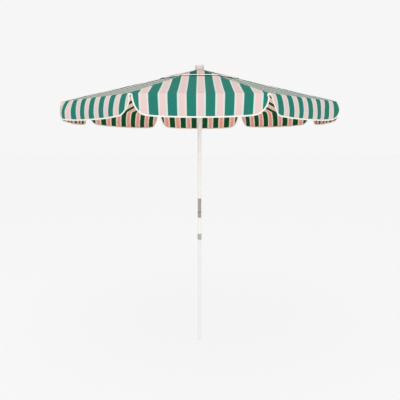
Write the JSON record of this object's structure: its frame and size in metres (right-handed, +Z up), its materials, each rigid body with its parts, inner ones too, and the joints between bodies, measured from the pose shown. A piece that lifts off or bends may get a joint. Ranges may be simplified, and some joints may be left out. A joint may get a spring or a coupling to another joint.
{
  "type": "beach umbrella",
  "caption": "Folding beach umbrella: ribbed octagonal vented canopy with scalloped valance, sliding runner, tilt joint and a telescoping pole with a twist collar.",
  "frame": {"origin": "centre of the flat foot of the pole", "axes": "+Z up the pole; -Y faces the front panel, the side that the canopy tilts towards"},
  "size_m": [2.0332, 2.0332, 2.2701],
  "materials": {
    "striped_canvas": "matte",
    "zinc_fittings": "satin",
    "galvanised_ribs": "satin",
    "white_pole": "gloss",
    "white_nylon": "satin",
    "finial_plastic": "satin",
    "grey_collar": "satin",
    "tilt_steel": "satin",
    "pin_steel": "satin"
  },
  "bodies": {
    "lower_pole": {"lower_pole": "white_pole", "foot_plug": "white_nylon"},
    "lock_collar": {"lock_collar": "grey_collar"},
    "mid_pole": {"mid_pole": "white_pole", "lock_bush": "white_nylon", "tilt_fork": "tilt_steel", "tilt_pin": "pin_steel", "tilt_washers": "pin_steel"},
    "upper_pole": {"upper_pole": "white_pole", "tilt_tongue": "tilt_steel", "crown": "white_nylon", "crown_pins": "pin_steel", "finial": "finial_plastic", "catch_rivet": "pin_steel"},
    "runner_catch": {"runner_catch": "pin_steel"},
    "runner": {"runner": "white_nylon", "runner_pins": "pin_steel"},
    "rib_1": {"rib_1": "galvanised_ribs", "rib_fittings_1": "zinc_fittings", "canopy_1": "striped_canvas"},
    "stay_1": {"stay_1": "galvanised_ribs"},
    "rib_2": {"rib_2": "galvanised_ribs", "rib_fittings_2": "zinc_fittings", "canopy_2": "striped_canvas"},
    "stay_2": {"stay_2": "galvanised_ribs"},
    "rib_3": {"rib_3": "galvanised_ribs", "rib_fittings_3": "zinc_fittings", "canopy_3": "striped_canvas"},
    "stay_3": {"stay_3": "galvanised_ribs"},
    "rib_4": {"rib_4": "galvanised_ribs", "rib_fittings_4": "zinc_fittings", "canopy_4": "striped_canvas"},
    "stay_4": {"stay_4": "galvanised_ribs"},
    "rib_5": {"rib_5": "galvanised_ribs", "rib_fittings_5": "zinc_fittings", "canopy_5": "striped_canvas"},
    "stay_5": {"stay_5": "galvanised_ribs"},
    "rib_6": {"rib_6": "galvanised_ribs", "rib_fittings_6": "zinc_fittings", "canopy_6": "striped_canvas"},
    "stay_6": {"stay_6": "galvanised_ribs"},
    "rib_7": {"rib_7": "galvanised_ribs", "rib_fittings_7": "zinc_fittings", "canopy_7": "striped_canvas"},
    "stay_7": {"stay_7": "galvanised_ribs"},
    "rib_8": {"rib_8": "galvanised_ribs", "rib_fittings_8": "zinc_fittings", "canopy_8": "striped_canvas"},
    "stay_8": {"stay_8": "galvanised_ribs"},
    "valance_1": {"valance_1": "striped_canvas"},
    "valance_2": {"valance_2": "striped_canvas"},
    "valance_3": {"valance_3": "striped_canvas"},
    "valance_4": {"valance_4": "striped_canvas"},
    "valance_5": {"valance_5": "striped_canvas"},
    "valance_6": {"valance_6": "striped_canvas"},
    "valance_7": {"valance_7": "striped_canvas"},
    "valance_8": {"valance_8": "striped_canvas"}
  },
  "joints": [
    {"name": "pole_extend", "type": "slide", "parent": "lower_pole", "child": "mid_pole", "axis": [0, 0, 1], "range_m": [0, 0.1]},
    {"name": "collar_twist", "type": "hinge", "parent": "mid_pole", "child": "lock_collar", "pos_m": [0, 0, 0.852], "axis": [0, 0, 1], "range_deg": [0, 90]},
    {"name": "tilt", "type": "hinge", "parent": "mid_pole", "child": "upper_pole", "pos_m": [0, 0, 1.055], "axis": [1, 0, 0], "range_deg": [0, 35]},
    {"name": "catch_press", "type": "hinge", "parent": "upper_pole", "child": "runner_catch", "pos_m": [0, -0.012, 1.84094], "axis": [-1, 0, 0], "range_deg": [0, 8], "stiffness_Nm_per_rad": 0.3, "springref_deg": -5.73},
    {"name": "fold", "type": "hinge", "parent": "upper_pole", "child": "rib_1", "pos_m": [0.02494, 0.01033, 2.21564], "axis": [-0.3827, 0.9239, 0], "range_deg": [0, 70], "deforming": ["canopy_1", "canopy_2", "canopy_3", "canopy_4", "canopy_5", "canopy_6", "canopy_7", "canopy_8", "valance_1", "valance_2", "valance_3", "valance_4", "valance_5", "valance_6", "valance_7", "valance_8", "runner_catch"]},
    {"name": "stay_swing_1", "type": "hinge", "parent": "rib_1", "child": "stay_1", "pos_m": [0.44462, 0.18417, 2.08359], "axis": [-0.3827, 0.9239, 0], "range_deg": [-140, 0]},
    {"name": "rib_fold_2", "type": "hinge", "parent": "upper_pole", "child": "rib_2", "pos_m": [0.01033, 0.02494, 2.21564], "axis": [-0.9239, 0.3827, 0], "range_deg": [0, 70]},
    {"name": "stay_swing_2", "type": "hinge", "parent": "rib_2", "child": "stay_2", "pos_m": [0.18417, 0.44462, 2.08359], "axis": [-0.9239, 0.3827, 0], "range_deg": [-140, 0]},
    {"name": "rib_fold_3", "type": "hinge", "parent": "upper_pole", "child": "rib_3", "pos_m": [-0.01033, 0.02494, 2.21564], "axis": [-0.9239, -0.3827, 0], "range_deg": [0, 70]},
    {"name": "stay_swing_3", "type": "hinge", "parent": "rib_3", "child": "stay_3", "pos_m": [-0.18417, 0.44462, 2.08359], "axis": [-0.9239, -0.3827, 0], "range_deg": [-140, 0]},
    {"name": "rib_fold_4", "type": "hinge", "parent": "upper_pole", "child": "rib_4", "pos_m": [-0.02494, 0.01033, 2.21564], "axis": [-0.3827, -0.9239, 0], "range_deg": [0, 70]},
    {"name": "stay_swing_4", "type": "hinge", "parent": "rib_4", "child": "stay_4", "pos_m": [-0.44462, 0.18417, 2.08359], "axis": [-0.3827, -0.9239, 0], "range_deg": [-140, 0]},
    {"name": "rib_fold_5", "type": "hinge", "parent": "upper_pole", "child": "rib_5", "pos_m": [-0.02494, -0.01033, 2.21564], "axis": [0.3827, -0.9239, 0], "range_deg": [0, 70]},
    {"name": "stay_swing_5", "type": "hinge", "parent": "rib_5", "child": "stay_5", "pos_m": [-0.44462, -0.18417, 2.08359], "axis": [0.3827, -0.9239, 0], "range_deg": [-140, 0]},
    {"name": "rib_fold_6", "type": "hinge", "parent": "upper_pole", "child": "rib_6", "pos_m": [-0.01033, -0.02494, 2.21564], "axis": [0.9239, -0.3827, 0], "range_deg": [0, 70]},
    {"name": "stay_swing_6", "type": "hinge", "parent": "rib_6", "child": "stay_6", "pos_m": [-0.18417, -0.44462, 2.08359], "axis": [0.9239, -0.3827, 0], "range_deg": [-140, 0]},
    {"name": "rib_fold_7", "type": "hinge", "parent": "upper_pole", "child": "rib_7", "pos_m": [0.01033, -0.02494, 2.21564], "axis": [0.9239, 0.3827, 0], "range_deg": [0, 70]},
    {"name": "stay_swing_7", "type": "hinge", "parent": "rib_7", "child": "stay_7", "pos_m": [0.18417, -0.44462, 2.08359], "axis": [0.9239, 0.3827, 0], "range_deg": [-140, 0]},
    {"name": "rib_fold_8", "type": "hinge", "parent": "upper_pole", "child": "rib_8", "pos_m": [0.02494, -0.01033, 2.21564], "axis": [0.3827, 0.9239, 0], "range_deg": [0, 70]},
    {"name": "stay_swing_8", "type": "hinge", "parent": "rib_8", "child": "stay_8", "pos_m": [0.44462, -0.18417, 2.08359], "axis": [0.3827, 0.9239, 0], "range_deg": [-140, 0]},
    {"name": "runner_travel", "type": "hinge", "parent": "stay_1", "child": "runner", "pos_m": [0.02494, 0.01033, 1.95154], "axis": [-0.3827, 0.9239, 0], "range_deg": [0, 70]},
    {"name": "valance_gather_1", "type": "slide", "parent": "upper_pole", "child": "valance_1", "axis": [-0.5773, -0.5773, -0.5775], "range_m": [0, 1.15271]},
    {"name": "valance_gather_2", "type": "slide", "parent": "upper_pole", "child": "valance_2", "axis": [0, -0.8164, -0.5775], "range_m": [0, 1.15271]},
    {"name": "valance_gather_3", "type": "slide", "parent": "upper_pole", "child": "valance_3", "axis": [0.5773, -0.5773, -0.5775], "range_m": [0, 1.15271]},
    {"name": "valance_gather_4", "type": "slide", "parent": "upper_pole", "child": "valance_4", "axis": [0.8164, 0, -0.5775], "range_m": [0, 1.15271]},
    {"name": "valance_gather_5", "type": "slide", "parent": "upper_pole", "child": "valance_5", "axis": [0.5773, 0.5773, -0.5775], "range_m": [0, 1.15271]},
    {"name": "valance_gather_6", "type": "slide", "parent": "upper_pole", "child": "valance_6", "axis": [0, 0.8164, -0.5775], "range_m": [0, 1.15271]},
    {"name": "valance_gather_7", "type": "slide", "parent": "upper_pole", "child": "valance_7", "axis": [-0.5773, 0.5773, -0.5775], "range_m": [0, 1.15271]},
    {"name": "valance_gather_8", "type": "slide", "parent": "upper_pole", "child": "valance_8", "axis": [-0.8164, 0, -0.5775], "range_m": [0, 1.15271]}
  ],
  "couplings": [
    {"joint": "stay_swing_1", "follows": "fold", "ratio": -2},
    {"joint": "rib_fold_2", "follows": "fold", "ratio": 1},
    {"joint": "stay_swing_2", "follows": "fold", "ratio": -2},
    {"joint": "rib_fold_3", "follows": "fold", "ratio": 1},
    {"joint": "stay_swing_3", "follows": "fold", "ratio": -2},
    {"joint": "rib_fold_4", "follows": "fold", "ratio": 1},
    {"joint": "stay_swing_4", "follows": "fold", "ratio": -2},
    {"joint": "rib_fold_5", "follows": "fold", "ratio": 1},
    {"joint": "stay_swing_5", "follows": "fold", "ratio": -2},
    {"joint": "rib_fold_6", "follows": "fold", "ratio": 1},
    {"joint": "stay_swing_6", "follows": "fold", "ratio": -2},
    {"joint": "rib_fold_7", "follows": "fold", "ratio": 1},
    {"joint": "stay_swing_7", "follows": "fold", "ratio": -2},
    {"joint": "rib_fold_8", "follows": "fold", "ratio": 1},
    {"joint": "stay_swing_8", "follows": "fold", "ratio": -2},
    {"joint": "runner_travel", "follows": "fold", "ratio": 1},
    {"joint": "valance_gather_1", "follows": "fold", "m_per_rad": 0.94351},
    {"joint": "valance_gather_2", "follows": "fold", "m_per_rad": 0.94351},
    {"joint": "valance_gather_3", "follows": "fold", "m_per_rad": 0.94351},
    {"joint": "valance_gather_4", "follows": "fold", "m_per_rad": 0.94351},
    {"joint": "valance_gather_5", "follows": "fold", "m_per_rad": 0.94351},
    {"joint": "valance_gather_6", "follows": "fold", "m_per_rad": 0.94351},
    {"joint": "valance_gather_7", "follows": "fold", "m_per_rad": 0.94351},
    {"joint": "valance_gather_8", "follows": "fold", "m_per_rad": 0.94351}
  ]
}
